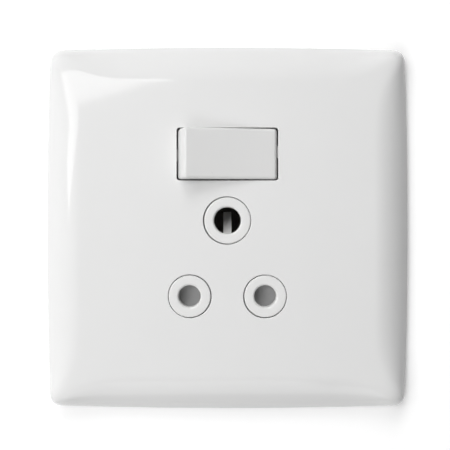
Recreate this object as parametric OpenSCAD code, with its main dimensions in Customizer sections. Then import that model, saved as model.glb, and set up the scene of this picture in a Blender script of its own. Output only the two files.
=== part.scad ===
// Switched wall socket: one round-pin outlet with safety shutters and a rocker switch
// Finished frame: X to the right, Z up, the front faces -Y, and the wall is the plane Y = 0
// Modules are drawn lying on their backs and stood up by upright():
// x to the right, y up the wall, z out of the wall towards the user

/* [Cover] */
// Width and height of the cover, measured across the middle of its sides
plate_w = 125; // [118:1:134]
// How far each side draws in between its middle and its corners
plate_bow = 1.1; // [0.7:0.1:1.6]
// Corner radius of the outline
corner_r = 4; // [3:0.5:6]
// Height of the face above the wall
plate_depth = 10.5; // [10.3:0.1:12]
// Wall of the moulded cover
cover_wall = 2; // [1.8:0.1:2.2]
// Radius of the gently domed field
dome_r = 1500; // [1200:100:2500]
// Radius of the rounded border
border_r = 25; // [23:1:30]
// Width of the border in the middle of a side
border_w = 13; // [11:0.5:14.5]
// Slope of the border where it leaves the field, in degrees
border_slope = 6; // [4:0.5:8]
// Radius of the outer edge
edge_r = 2.5; // [2.3:0.1:3]
// Gap between the cover and each round collar
collar_gap = 0.25; // [0.2:0.05:0.4]
// Width of a clip lug
lug_w = 6; // [4:0.5:8]
// Thickness of a clip lug
lug_t = 1.6; // [1.2:0.1:2]

/* [Pins] */
// Distance between the line and neutral pins
pin_spacing = 25.4; // [24:0.1:27]
// Height of the earth pin above the line through the other two
earth_rise = 25.4; // [25:0.1:28.6]
// Height of the earth pin above the centre of the cover
earth_y = 2.5; // [1.5:0.25:3]
// Diameter of the line and neutral pins
pin_d = 7.06; // [6.8:0.02:7.2]
// Length of the line and neutral pins
pin_l = 18.6; // [17:0.1:19]
// Diameter of the earth pin
earth_pin_d = 8.73; // [8.5:0.01:8.9]
// Length of the earth pin
earth_pin_l = 28.6; // [27:0.1:29]
// Clearance all round a line or neutral pin in its entry
pin_clear = 0.17; // [0.1:0.01:0.25]
// Clearance all round the earth pin in its entry
earth_clear = 0.135; // [0.1:0.005:0.2]
// Gap between the end of a pin and the closed end of its sleeve
pin_end_gap = 0.35; // [0.2:0.05:0.8]

/* [Collars] */
// Radius of the collar round the earth entry
earth_collar_r = 7.77; // [7.2:0.01:8.2]
// Radius of the collars round the line and neutral entries
collar_r = 7.03; // [6.6:0.01:7.6]
// Radius of the rounded lip of each entry
entry_lip = 0.75; // [0.5:0.05:1]
// How far the collars stand back from the face of the cover
collar_back = 0.05; // [0:0.05:0.3]

/* [Rocker] */
// Height of the rocker's centre above the centre of the cover
rocker_y = 24.8; // [24.4:0.1:26]
// Radius of the rocker's round ends about its pivot
rocker_r = 16.95; // [16:0.05:17.2]
// Height of the rocker, along its pivot
rocker_h = 16.9; // [15:0.1:17.5]
// Gap between the rocker and the window above and below it
window_gap = 0.43; // [0.3:0.01:0.6]
// Half width of the window in the cover
window_half = 17.05; // [17.05:0.05:17.6]
// Depth of the pivot behind the face of the cover
pivot_depth = 4.8; // [4.6:0.1:5.2]
// Angle that the rocker leans either way from the middle
rocker_tilt = 9; // [7:0.5:10]
// Hollow of the rocker's finger face
rocker_dish = 0.3; // [0.1:0.05:0.5]
// Radius of the rocker's rounded front edges
rocker_edge = 0.9; // [0.5:0.1:1.2]
// Wall of the rocker
rocker_wall = 1.6; // [1.2:0.1:1.8]
// Radius of the rocker's trunnions
trunnion_r = 1.5; // [1.2:0.05:1.6]
// Running clearance of pivots, all round
running = 0.05; // [0.03:0.01:0.08]

/* [Switch] */
// Radius of the spring plunger
plunger_r = 1.6; // [1.3:0.05:1.8]
// Distance from the rocker's pivot to the plunger's tip
plunger_reach = 11.4; // [11:0.1:12]
// How far the plunger can be pushed in
plunger_travel = 0.8; // [0.6:0.1:1]
// Gap between the plunger and the contact lever as they pass the middle
pass_gap = 0.12; // [0.08:0.01:0.2]
// Angle that the contact lever leans either way from the middle
lever_tilt = 7; // [5:0.5:8]
// Reach of the contact lever to each side
lever_arm = 14.4; // [13.8:0.1:15]
// Width of the contact lever
lever_w = 5; // [4:0.5:5.5]
// Thickness of the contact lever
lever_t = 1.2; // [1:0.1:1.4]
// Radius of the lever's rolled knuckle
knuckle_r = 1.5; // [1.3:0.05:1.6]
// Distance of the contact tips from the lever's knuckle
tip_x = 12.4; // [12:0.1:12.8]
// Radius of the contact tips
tip_r = 1.9; // [1.5:0.1:2]
// Gap left between the closed contact tips
tip_gap = 0.05; // [0.03:0.01:0.1]

/* [Contacts] */
// Thickness of the brass strips
strip_t = 1; // [0.8:0.1:1.2]
// Width of the line strip
strip_w = 5; // [4:0.5:5.4]
// Width of the live strip
bus_w = 4.4; // [3.5:0.1:4.4]
// Wall of the line and neutral sleeves
sleeve_wall = 0.9; // [0.7:0.05:1]
// Wall of the earth sleeve
earth_sleeve_wall = 1; // [0.8:0.05:1.1]
// Clearance all round a pin in its sleeve
grip_clear = 0.07; // [0.05:0.01:0.1]
// Width of the slits that let a sleeve spring open
slit_w = 1; // [0.6:0.1:1.4]
// Thickness of the steel grip rings
ring_t = 0.6; // [0.4:0.05:0.7]
// Height of the steel grip rings
ring_h = 3; // [2:0.25:3.5]

/* [Terminals] */
// Width of a terminal block
block_w = 8; // [7.4:0.2:8.4]
// Length of a terminal block along its wire
block_l = 7.4; // [6.5:0.1:7.6]
// Depth of a terminal block
block_d = 7.7; // [7.4:0.1:7.7]
// Gap between an outer terminal and the side wall of the body
terminal_gap = 1.7; // [1.2:0.1:2]
// Gap between the line strip and the live strip beside it
strip_gap = 1.6; // [1.2:0.1:1.8]
// Radius of the wire hole
wire_r = 2.3; // [2:0.05:2.4]
// Radius of a terminal screw's thread
clamp_r = 1.75; // [1.5:0.05:1.9]
// Radius of a terminal screw's head
clamp_head_r = 2.9; // [2.6:0.1:3.1]

/* [Body] */
// Width of the socket's body
body_w = 56; // [56:0.5:58]
// Height of the socket's body
body_h = 76; // [76:0.5:78]
// Height of the body's centre above the centre of the cover
body_y = -1; // [-1.5:0.25:-0.75]
// Wall of the body
body_wall = 1.8; // [1.5:0.1:2]
// Thickness of the body's front wall
front_wall = 1.4; // [1.2:0.1:1.5]
// Thickness of the body's floor
floor_wall = 2; // [1.6:0.1:2.4]
// Depth of the joint between the two halves of the body, behind the wall plane
joint_depth = 6; // [5:0.25:7]
// Depth of the floor below the outer terminals, where these and not the earth pin set it
terminal_floor = 0.9; // [0.5:0.1:1.5]
// Thickness of the flange that sits on the mounting frame
flange_t = 2; // [1.6:0.1:2.4]
// Width of that flange
flange_w = 7; // [6.5:0.25:7.5]

/* [Mounting frame] */
// Distance from the edge of the cover in to the pressed steel frame
frame_gap = 8.5; // [7:0.25:9.5]
// Thickness of its steel
frame_t = 1; // [0.8:0.1:1.2]
// Height of its turned-up rim
frame_rim = 4; // [3:0.25:4.5]
// Distance between the two box screws
box_spacing = 83.5; // [82:0.5:85]
// Width of the slots for the box screws
slot_w = 4.2; // [3.8:0.1:4.6]
// Length of the slots for the box screws
slot_l = 8; // [7:0.25:8.5]
// Radius of the rivets
rivet_r = 1.5; // [1.2:0.1:1.6]

/* [Shutter] */
// How far the shutter slides down
shutter_travel = 7.5; // [7.3:0.1:8]
// Thickness of the shutter
shutter_t = 1.5; // [1.3:0.1:1.6]
// Width of the shutter
shutter_w = 35; // [33:0.5:35.5]
// How far the shutter laps over a pin entry all round
shutter_lap = 0.15; // [0.1:0.05:0.4]
// Width of the arm behind the earth entry
arm_w = 2.8; // [2.2:0.1:3.2]
// Sliding clearance of the shutter
slide = 0.1; // [0.08:0.02:0.2]
// Mean radius of the shutter's spring
spring_r = 1.6; // [1.4:0.05:1.6]
// Radius of the springs' wire
wire_spring_r = 0.2; // [0.15:0.01:0.22]

/* [Hidden] */

// Small overlap that makes a cut run clean through
cut = 1;
// Clearance that seats one fixed piece in another
seat = 0.3;
// Clearance between fixed round pieces that grip each other
snug = 0.05;

// Cover
half_w = plate_w / 2;
bow_r = (half_w * half_w + plate_bow * plate_bow) / (2 * plate_bow);
bow_offset = bow_r - half_w;
corner_q = bow_r - corner_r;
corner_c = (sqrt(2 * corner_q * corner_q - bow_offset * bow_offset) - bow_offset) / 2;
corner_turn = atan2(corner_c, corner_c + bow_offset);
field_half = half_w - border_w;
border_cu = field_half - border_r * sin(border_slope);
border_cv = face_at(field_half, 0) - border_r * cos(border_slope);
least_edge = 0.3;
// How far the edge arc runs past the side wall, so that the two surfaces cross cleanly
wall_bite = 0.03;
fine_arc = 2600;

// Height of the face of the domed field at a place on it
function face_at(x, y) = plate_depth - dome_r + sqrt(dome_r * dome_r - x * x - y * y);
// Height of the cover's inner face there
function inner_at(x, y) = plate_depth - dome_r
    + sqrt(pow(dome_r - cover_wall, 2) - x * x - y * y);

// Pin entries
line_y = earth_y - earth_rise;
line_x = pin_spacing / 2;
entry_r = pin_d / 2 + pin_clear;
earth_entry_r = earth_pin_d / 2 + earth_clear;
line_face = face_at(line_x, line_y) - collar_back;
earth_face = face_at(0, earth_y) - collar_back;

// Body, measured up from the wall plane
body_top = body_y + body_h / 2;
body_low = body_y - body_h / 2;
body_corner = 3;
inner_low = body_low + body_wall;
cover_clear = 0.2;
front_v = inner_at(body_w / 2, max(body_top, -body_low)) - cover_clear;
ceiling_v = front_v - front_wall;
joint_v = -joint_depth;
post_x = body_w / 2 - 3.6;
post_r = 2.8;
post_low_y = -14;
post_high_y = body_top - 4.5;
screw_r = 1.3;
screw_head_r = 2.6;
screw_head_t = 1.6;
rivet_x = body_w / 2 + flange_w / 2 + 0.4;
rivet_y = 24;
rivet_head_r = 2.5;
rivet_head_t = 0.9;

// Frame
frame_w = plate_w - 2 * frame_gap;
opening_gap = 0.3;
// Distance from the frame's edge in to the clip lugs
clip_in = 8.5;
clip_x = frame_w / 2 - clip_in;
clip_y = 28;
clip_gap = 0.4;

// Rocker, about its pivot
pivot_v = face_at(0, rocker_y) - pivot_depth;
rocker_half = rocker_h / 2;
tip_out = asin((pivot_depth + 0.15) / rocker_r) + rocker_tilt;
wing_v = rocker_r * sin(tip_out);
wing_x = rocker_r * cos(tip_out);
dish_r = (wing_x * wing_x + rocker_dish * rocker_dish) / (2 * rocker_dish);
edge_cv = wing_v - rocker_edge;
edge_cx = sqrt(pow(rocker_r - rocker_edge, 2) - edge_cv * edge_cv);
skirt = 3.5;
stem_half = 3.2;
stem_reach = 8.8;
bore_top = 3;
bore_clear = 0.08;
plunger_tail = 4.2;
window_half_h = rocker_half + window_gap;
window_r = 1;
trunnion_l = 2;

// Well that holds the rocker
well_x = window_half + 0.5;
well_y = window_half_h + 0.15;
well_wall = 1.5;
well_floor_v = pivot_v - rocker_r * sin(asin(skirt / rocker_r) + rocker_tilt) - 0.6;
well_floor_t = 1.4;
guide_rib = 0.3;
guide_rib_w = 4;

// Contact lever, about its knuckle
lever_v = pivot_v - plunger_reach - pass_gap;
knuckle_v = lever_v - lever_t - 0.6;
knuckle_l = 8;
tip_t = 1;
tip_dome = 8;
moving_face = knuckle_v - (lever_v - lever_t - tip_t);
fixed_dome_v = knuckle_v
    - (moving_face + tip_gap + tip_dome + tip_x * sin(lever_tilt)) / cos(lever_tilt);
fixed_tip_rise = 0.95;
ear_t = 1;
ear_y = lever_w / 2 + 0.7;

// Sleeves
sleeve_in = pin_d / 2 + grip_clear;
sleeve_out = sleeve_in + sleeve_wall;
earth_in = earth_pin_d / 2 + grip_clear;
earth_out = earth_in + earth_sleeve_wall;
shutter_front = ceiling_v - slide;
shutter_back = shutter_front - shutter_t;
lip_back = shutter_back - slide - 1.2;
sleeve_front = lip_back - 0.2;
ramp_reach = 8;
ramp_back = shutter_front - ramp_reach;
earth_front = ramp_back - 2;
sleeve_cap = 1;
slit_foot = 3;
flare = 0.5;
line_end = line_face - pin_l - pin_end_gap;
earth_end = earth_face - earth_pin_l - pin_end_gap;
strip_v = min(fixed_dome_v + tip_dome - fixed_tip_rise, line_end - sleeve_cap);
strip_back = strip_v - strip_t;

// Terminals
terminal_x = body_w / 2 - body_wall - terminal_gap - block_w / 2;
block_v = strip_back;
block_back = block_v - block_d;
block_y = inner_low + 0.2 + block_l / 2;
floor_v = min(earth_end - sleeve_cap - strip_t, block_back - terminal_floor);
back_v = floor_v - floor_wall;
wire_v = block_v - wire_r - 1.2;
clamp_tip_v = wire_v - wire_r - 0.2;
clamp_head_v = block_back - 0.3;
clamp_head_t = 1.9;
earth_block_v = floor_v + strip_t + block_d;
earth_wire_v = earth_block_v - wire_r - 1.2;
access_r = clamp_head_r + 0.5;

// Strips on the floor plan
bus_x = line_x + strip_w / 2 + strip_gap + bus_w / 2;
bus_high_y = body_top - body_wall - 1 - bus_w / 2;
ear_low_y = rocker_y - 4;
rib_low_y = rocker_y - 3.2;
rib_high_y = rocker_y + 5.2;
rib_t = 1.5;

// Earth strap, which passes beside the earth wire on its way to the frame
strap_x = terminal_x / 2;
strap_y = body_low - 0.5 - strip_w / 2;
strap_rivet_y = -frame_w / 2 + 5;

// Shutter
lap_r = entry_r + shutter_lap;
shutter_top = line_y + lap_r;
shutter_low = line_y - lap_r;
pin_low = earth_y - earth_pin_d / 2;
ramp_top = pin_low + shutter_travel;
ramp_low = ramp_top - ramp_reach;
tab_y = -8.3;
tab_t = 1.2;
spring_v = shutter_back - spring_r - wire_spring_r - 0.1;
wall_y = -27;
wall_t = 2.2;
wall_half = 6;
spring_low = wall_y + 0.05;
spring_high = tab_y - tab_t - 0.05;
peg_r = spring_r - wire_spring_r - 0.2;

facets = 72;

// Stands what is drawn lying down up against the wall
module upright() {
    rotate([90, 0, 0]) children();
}

// Flat rectangle with round corners
module rounded(w, h, r) {
    square([w - 2 * r, h], center = true);
    square([w, h - 2 * r], center = true);
    for (sx = [-1, 1], sy = [-1, 1]) {
        translate([sx * (w / 2 - r), sy * (h / 2 - r)]) circle(r, $fn = facets);
    }
}

// Block with round corners between two heights
module slab(w, h, r, low, high) {
    translate([0, 0, low]) linear_extrude(high - low) rounded(w, h, r);
}

// Upright round bar between two heights
module bar(r, low, high) {
    translate([0, 0, low]) cylinder(h = high - low, r = r, $fn = facets);
}

// Box between two corners
module between(a, b) {
    translate(a) cube(b - a);
}

// Outline of the cover, drawn in by t: four large arcs joined by corner arcs
module cover_outline(t) {
    reach = 3 * corner_r;
    toward = [cos(corner_turn), sin(corner_turn)];
    difference() {
        intersection_for (i = [0:3]) {
            rotate(90 * i) translate([-bow_offset, 0]) circle(bow_r - t, $fn = fine_arc);
        }
        for (i = [0:3]) {
            rotate(90 * i) translate([corner_c, corner_c]) polygon([[0, 0], reach * toward,
                [reach, reach], reach * [toward[1], toward[0]]]);
        }
    }
    for (i = [0:3]) {
        rotate(90 * i) translate([corner_c, corner_c])
            circle(max(corner_r - t, least_edge), $fn = facets);
    }
}

// Section of one side's border, drawn in by t: a sloping line, the border arc and the edge arc
module border_section(t) {
    big = border_r - t;
    small = max(edge_r - t, least_edge);
    edge_u = half_w - t - small + wall_bite;
    edge_v = border_cv + sqrt(pow(big - small, 2) - pow(edge_u - border_cu, 2));
    meet_u = border_cu + big * (edge_u - border_cu) / (big - small);
    start = [border_cu + big * sin(border_slope), border_cv + big * cos(border_slope)];
    far = -half_w - 5;
    low = -3;
    polygon([[far, low], [far, start[1] + (start[0] - far) * tan(border_slope)], start,
        [start[0], low]]);
    intersection() {
        translate([border_cu, border_cv]) circle(big, $fn = 3 * facets);
        translate([border_cu, low]) square([meet_u - border_cu, plate_depth - low]);
    }
    translate([edge_u, edge_v]) circle(small, $fn = facets);
    translate([edge_u - small / 2, low]) square([small / 2 + 4, edge_v - low]);
}

// That section carried round the large bow of a side
module border(t) {
    sweep = asin((half_w + 5) / bow_r);
    translate([-bow_offset, 0, 0]) rotate([0, 0, -sweep])
        rotate_extrude(angle = 2 * sweep, $fn = fine_arc)
            translate([bow_offset, 0]) border_section(t);
}

// Cap of the large dome
module dome(t) {
    rotate_extrude($fn = 2 * facets) intersection() {
        translate([0, plate_depth - dome_r]) circle(dome_r - t, $fn = fine_arc);
        translate([0, -2]) square([plate_w, plate_depth + 3]);
    }
}

// The pillow shape, drawn in by t, from a height up
module pillow(t, low) {
    intersection() {
        translate([0, 0, low]) linear_extrude(plate_depth + 2) cover_outline(t);
        dome(t);
        intersection_for (i = [0:3]) {
            rotate([0, 0, 90 * i]) border(t);
        }
    }
}

// One clip lug, which hooks behind the mounting frame
module clip_lug() {
    hook = 0.9;
    top = inner_at(clip_x, clip_y) + 0.3;
    translate([clip_x, 0, 0]) {
        between([-lug_t / 2, -lug_w / 2, -2.4], [lug_t / 2, lug_w / 2, top]);
        translate([0, lug_w / 2, 0]) rotate([90, 0, 0]) linear_extrude(lug_w)
            polygon([[-lug_t / 2 - hook, -0.2], [0, -0.2], [0, -2.4], [-lug_t / 2, -2.4]]);
        between([0, -0.5, 3], [2.6, 0.5, top]);
    }
}

module cover_plate() {
    color("white") upright() {
        difference() {
            pillow(0, 0);
            pillow(cover_wall, -1);
            translate([0, rocker_y, 0])
                slab(2 * window_half, 2 * window_half_h, window_r, 0, plate_depth + cut);
            translate([0, earth_y, 0]) bar(earth_collar_r + collar_gap, 0, plate_depth + cut);
            for (s = [-1, 1]) {
                translate([s * line_x, line_y, 0])
                    bar(collar_r + collar_gap, 0, plate_depth + cut);
            }
        }
        for (a = [0, 180], s = [-1, 1]) {
            rotate([0, 0, a]) translate([0, s * clip_y, 0]) clip_lug();
        }
    }
}

module mounting_frame() {
    corner = 6;
    color("silver") upright() difference() {
        slab(frame_w, frame_w, corner, 0, frame_rim);
        slab(frame_w - 2 * frame_t, frame_w - 2 * frame_t, corner - frame_t, frame_t,
            frame_rim + cut);
        translate([0, body_y, 0]) slab(body_w + 2 * opening_gap, body_h + 2 * opening_gap,
            body_corner, -cut, frame_t + cut);
        for (s = [-1, 1]) {
            translate([s * box_spacing / 2, 0, 0]) slab(slot_l, slot_w, slot_w / 2 - 0.001,
                -cut, frame_t + cut);
        }
        for (sx = [-1, 1], sy = [-1, 1]) {
            translate([sx * clip_x, sy * clip_y, 0]) slab(lug_t + 2 * clip_gap + 1,
                lug_w + 2 * clip_gap, 0.5, -cut, frame_t + cut);
            translate([sx * rivet_x, body_y + sy * rivet_y, 0])
                bar(rivet_r + snug, -cut, frame_t + cut);
        }
        translate([strap_x, strap_rivet_y, 0]) bar(rivet_r + snug, -cut, frame_t + cut);
    }
}

// Round collar with a rounded rim, from the ceiling up to the cover's face
module collar(r, face) {
    rim = 0.4;
    rotate_extrude($fn = facets) {
        translate([0, ceiling_v]) square([r, face - rim - ceiling_v]);
        translate([0, face - rim - 0.1]) square([r - rim, rim + 0.1]);
        translate([r - rim, face - rim]) circle(rim, $fn = 48);
    }
}

// Cutter for a pin entry with a rounded lip
module entry(r, face) {
    bar(r, ceiling_v - cut, face + cut);
    rotate_extrude($fn = facets) difference() {
        translate([0, face - entry_lip]) square([r + entry_lip, entry_lip + cut]);
        translate([r + entry_lip, face - entry_lip]) circle(entry_lip, $fn = 48);
    }
}

module front_housing() {
    rail_x = shutter_w / 2 + seat;
    rail_low = shutter_low - shutter_travel - 0.6;
    lip = 1.6;
    color("white") upright() difference() {
        union() {
            translate([0, body_y, 0]) difference() {
                slab(body_w, body_h, body_corner, joint_v, front_v);
                slab(body_w - 2 * body_wall, body_h - 2 * body_wall, body_corner - body_wall,
                    joint_v - cut, ceiling_v);
            }
            translate([0, body_y, 0]) difference() {
                slab(body_w + 2 * flange_w, body_h + 2 * flange_w, 4, frame_t,
                    frame_t + flange_t);
                slab(body_w - body_wall, body_h - body_wall, body_corner, 0, ceiling_v);
            }
            translate([0, earth_y, 0]) collar(earth_collar_r, earth_face);
            for (s = [-1, 1]) {
                translate([s * line_x, line_y, 0]) collar(collar_r, line_face);
            }
            translate([0, rocker_y, 0]) slab(2 * well_x + 2 * well_wall,
                2 * well_y + 2 * well_wall, 1.5, well_floor_v - well_floor_t, front_v);
            for (sx = [-1, 1]) {
                for (y = [post_low_y, post_high_y]) {
                    translate([sx * post_x, y, 0]) bar(post_r, joint_v, front_v - 0.5);
                }
                mirror([sx < 0 ? 1 : 0, 0, 0]) {
                    between([rail_x, rail_low, lip_back], [rail_x + lip, shutter_top + seat,
                        front_v - 0.5]);
                    between([rail_x - lip, rail_low, lip_back], [rail_x + lip,
                        shutter_top + seat, lip_back + 1.2]);
                    between([rail_x - lip, shutter_top + seat, lip_back], [rail_x + lip,
                        shutter_top + seat + 1.2, front_v - 0.5]);
                    between([arm_w / 2 + seat, tab_y + 0.8, lip_back], [arm_w / 2 + seat + 1.2,
                        pin_low - 1.2, front_v - 0.5]);
                }
            }
        }
        translate([0, earth_y, 0]) entry(earth_entry_r, earth_face);
        for (s = [-1, 1]) {
            translate([s * line_x, line_y, 0]) entry(entry_r, line_face);
        }
        translate([0, rocker_y, 0]) difference() {
            slab(2 * well_x, 2 * well_y, window_r, well_floor_v, front_v + cut);
            for (s = [-1, 1]) {
                translate([s * well_x, 0, 0]) between([-guide_rib, -guide_rib_w / 2, pivot_v - 4],
                    [guide_rib, guide_rib_w / 2, front_v]);
            }
        }
        translate([0, rocker_y, 0]) between([-stem_half - 2.2, -stem_half - 1,
            well_floor_v - well_floor_t - cut], [stem_half + 2.2, stem_half + 1,
            well_floor_v + cut]);
        translate([0, rocker_y, pivot_v]) rotate([90, 0, 0]) cylinder(h = 2 * well_y
            + 4 * well_wall, r = trunnion_r + running, center = true, $fn = facets);
        for (sx = [-1, 1], y = [post_low_y, post_high_y]) {
            translate([sx * post_x, y, 0]) bar(screw_r + snug, joint_v - cut, ceiling_v - 2);
        }
        for (sx = [-1, 1], sy = [-1, 1]) {
            translate([sx * rivet_x, body_y + sy * rivet_y, 0])
                bar(rivet_r + snug, 0, frame_t + flange_t + cut);
        }
        translate([strap_x, strap_rivet_y, 0]) bar(rivet_head_r + seat, 0,
            frame_t + flange_t + cut);
    }
}

// Space that a row of fixed inner pieces takes in the rear housing, with clearance all round
module inner_space() {
    c = seat;
    flat_path(live_path(), bus_w + 2 * c, strip_back - 0.05, strip_v + c);
    flat_path(line_path(), strip_w + 2 * c, strip_back - 0.05, strip_v + c);
    flat_path(neutral_path(), strip_w + 2 * c, strip_back - 0.05, strip_v + c);
    flat_path(earth_path(), strip_w + 2 * c, floor_v, floor_v + strip_t + c);
    for (s = [-1, 1]) {
        translate([s * line_x, line_y, 0]) bar(sleeve_out + c, strip_v - 0.01, 0);
        translate([s * terminal_x, block_y, 0]) between([-block_w / 2 - c, -block_l / 2 - c,
            block_back - 0.05], [block_w / 2 + c, block_l / 2 + c, 0]);
    }
    translate([0, earth_y, 0]) bar(earth_out + c, floor_v + strip_t - 0.01, 0);
    translate([0, block_y, 0]) between([-block_w / 2 - c, -block_l / 2 - c,
        earth_block_v - block_d - 0.05], [block_w / 2 + c, block_l / 2 + c, 0]);
}

module rear_housing() {
    tower_top = joint_v + 1.5;
    color([0.13, 0.13, 0.14]) upright() difference() {
        union() {
            translate([0, body_y, 0]) difference() {
                slab(body_w, body_h, body_corner, back_v, joint_v);
                slab(body_w - 2 * body_wall, body_h - 2 * body_wall, body_corner - body_wall,
                    floor_v, joint_v + cut);
            }
            difference() {
                union() {
                    for (s = [-1, 1]) {
                        translate([s * line_x, line_y, 0]) bar(sleeve_out + 1.6, floor_v - 0.5,
                            tower_top);
                        translate([s * terminal_x, block_y, 0]) between([-block_w / 2 - 1.5,
                            -block_l / 2 - 0.1, floor_v - 0.5], [min(block_w / 2 + 1.5,
                            body_w / 2 - terminal_x), block_l / 2 + 1.5, strip_back - 2]);
                    }
                    translate([0, earth_y, 0]) bar(earth_out + 1.6, floor_v - 0.5,
                        earth_front - ring_h - 3);
                    translate([0, block_y, 0]) between([-block_w / 2 - 1.5, -block_l / 2 - 0.1,
                        floor_v - 0.5], [block_w / 2 + 1.5, block_l / 2 + 1, strip_back - 2]);
                    for (y = [rib_low_y, rib_high_y]) {
                        between([-body_w / 2 + 1, y - rib_t / 2, floor_v - 0.5],
                            [body_w / 2 - 1, y + rib_t / 2, strip_back]);
                    }
                    between([line_x - rib_t / 2, line_y, floor_v - 0.5],
                        [line_x + rib_t / 2, rib_high_y, strip_back]);
                    between([bus_x - rib_t / 2, line_y, floor_v - 0.5],
                        [bus_x + rib_t / 2, bus_high_y, strip_back]);
                    between([-wall_half, wall_y - wall_t, floor_v - 0.5], [wall_half, wall_y,
                        shutter_back - 0.2]);
                    translate([0, wall_y - 0.5, spring_v]) rotate([-90, 0, 0])
                        cylinder(h = 2.5, r = peg_r, $fn = 36);
                }
                inner_space();
            }
            for (sx = [-1, 1], y = [post_low_y, post_high_y]) {
                translate([sx * post_x, y, 0]) bar(post_r, floor_v - 0.5, joint_v);
            }
        }
        for (sx = [-1, 1], y = [post_low_y, post_high_y]) {
            translate([sx * post_x, y, 0]) {
                bar(screw_r + 0.2, back_v - cut, joint_v + cut);
                bar(screw_head_r + 0.3, back_v - cut, back_v + screw_head_t + 0.4);
            }
        }
        for (x = [-terminal_x, 0, terminal_x]) {
            translate([x, block_y, 0]) bar(access_r, back_v - cut, x == 0 ? floor_v + 0.01
                : block_back + 0.5);
            translate([x, body_low - cut, x == 0 ? earth_wire_v : wire_v])
                rotate([-90, 0, 0]) cylinder(h = body_wall + 2 * cut, r = wire_r + 0.5,
                $fn = facets);
        }
        between([strap_x - strip_w / 2 - seat, body_low - cut, floor_v - 0.001],
            [strap_x + strip_w / 2 + seat, inner_low + cut, floor_v + strip_t + seat]);
    }
}

module housing_screws() {
    slot = 0.8;
    color("silver") upright() for (sx = [-1, 1], y = [post_low_y, post_high_y]) {
        translate([sx * post_x, y, back_v + 0.4]) difference() {
            union() {
                cylinder(h = screw_head_t, r = screw_head_r, $fn = facets);
                cylinder(h = ceiling_v - 3 - back_v, r = screw_r, $fn = facets);
            }
            between([-slot / 2, -4, -cut], [slot / 2, 4, 0.8]);
            between([-4, -slot / 2, -cut], [4, slot / 2, 0.8]);
        }
    }
}

// Round-headed rivet through what lies between two heights
module rivet(low, high) {
    bar(rivet_r, low - 0.2, high + 0.2);
    intersection() {
        bar(rivet_head_r, high, high + rivet_head_t);
        translate([0, 0, high + rivet_head_t - 4]) sphere(4, $fn = facets);
    }
    bar(rivet_head_r - 0.4, low - 0.6, low);
}

module frame_rivets() {
    color("silver") upright() for (sx = [-1, 1], sy = [-1, 1]) {
        translate([sx * rivet_x, body_y + sy * rivet_y, 0]) rivet(0, frame_t + flange_t);
    }
}

// Side view of the rocker about its pivot, with rounded wing tips, drawn in by t
module rocker_profile(t) {
    reach = 3 * rocker_edge;
    away = [edge_cx, edge_cv] / (rocker_r - rocker_edge);
    difference() {
        circle(rocker_r - t, $fn = 4 * facets);
        translate([0, wing_v - rocker_dish + dish_r]) circle(dish_r + t, $fn = fine_arc);
        translate([-2 * rocker_r, -skirt - 2 * rocker_r]) square([4 * rocker_r, 2 * rocker_r]);
        for (s = [0, 1]) {
            mirror([s, 0]) translate([edge_cx, edge_cv])
                polygon([[0, 0], [0, reach], [reach, reach], reach * away]);
        }
    }
    for (s = [-1, 1]) {
        translate([s * edge_cx, edge_cv]) circle(max(rocker_edge - t, 0.1), $fn = 48);
    }
}

// Cross section of the rocker, with its long front edges rounded
module rocker_section(t) {
    r = max(rocker_edge - t, 0.1);
    w = rocker_half - t;
    top = wing_v - t;
    translate([-w, -skirt - 1]) square([2 * w, top - r + skirt + 1]);
    translate([-w + r, 0]) square([2 * (w - r), top]);
    for (s = [-1, 1]) {
        translate([s * (w - r), top - r]) circle(r, $fn = 48);
    }
}

// The rocker's solid block about its pivot, drawn in by t
module rocker_block(t) {
    intersection() {
        translate([0, rocker_half, 0]) rotate([90, 0, 0]) linear_extrude(rocker_h)
            rocker_profile(t);
        rotate([90, 0, 90]) translate([0, 0, -rocker_r]) linear_extrude(2 * rocker_r)
            rocker_section(t);
    }
}

// Places a piece at the rocker's pivot, leaning as it rests
module at_rocker() {
    translate([0, rocker_y, pivot_v]) rotate([0, rocker_tilt, 0]) children();
}

module rocker() {
    color("white") upright() at_rocker() difference() {
        union() {
            difference() {
                rocker_block(0);
                translate([0, 0, -0.01]) rocker_block(rocker_wall);
                between([-rocker_r, -rocker_half + rocker_wall, -skirt - cut],
                    [rocker_r, rocker_half - rocker_wall, -skirt + 0.01]);
            }
            intersection() {
                rocker_block(0);
                between([-rocker_r, -0.6, -skirt], [rocker_r, 0.6, rocker_r]);
            }
            between([-stem_half, -stem_half, -stem_reach], [stem_half, stem_half,
                wing_v - rocker_dish - rocker_wall + 0.3]);
            rotate([90, 0, 0]) cylinder(h = rocker_h + 2 * trunnion_l, r = trunnion_r,
                center = true, $fn = facets);
        }
        bar(plunger_r + bore_clear, -stem_reach - cut, bore_top);
    }
}

module rocker_plunger() {
    color("ivory") upright() at_rocker() {
        bar(plunger_r, -plunger_reach + plunger_r, -plunger_tail);
        translate([0, 0, -plunger_reach + plunger_r]) sphere(plunger_r, $fn = facets);
    }
}

// Coil spring along z from 0 to l, as one swept tube
module coil(r, wire, l, turns) {
    sides = 6;
    steps = 12;
    n = turns * steps;
    lift = (l - 2 * wire) / n;
    points = [for (i = [0:n], j = [0:sides - 1])
        let (a = 360 * i / steps, b = 360 * j / sides, q = r + wire * cos(b))
        [q * cos(a), q * sin(a), wire + i * lift + wire * sin(b)]];
    sides_faces = [for (i = [0:n - 1], j = [0:sides - 1])
        [i * sides + j, i * sides + (j + 1) % sides, (i + 1) * sides + (j + 1) % sides,
        (i + 1) * sides + j]];
    start_face = [for (j = [0:sides - 1]) sides - 1 - j];
    end_face = [for (j = [0:sides - 1]) n * sides + j];
    polyhedron(points, concat([start_face], sides_faces, [end_face]), convexity = 4);
}

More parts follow.
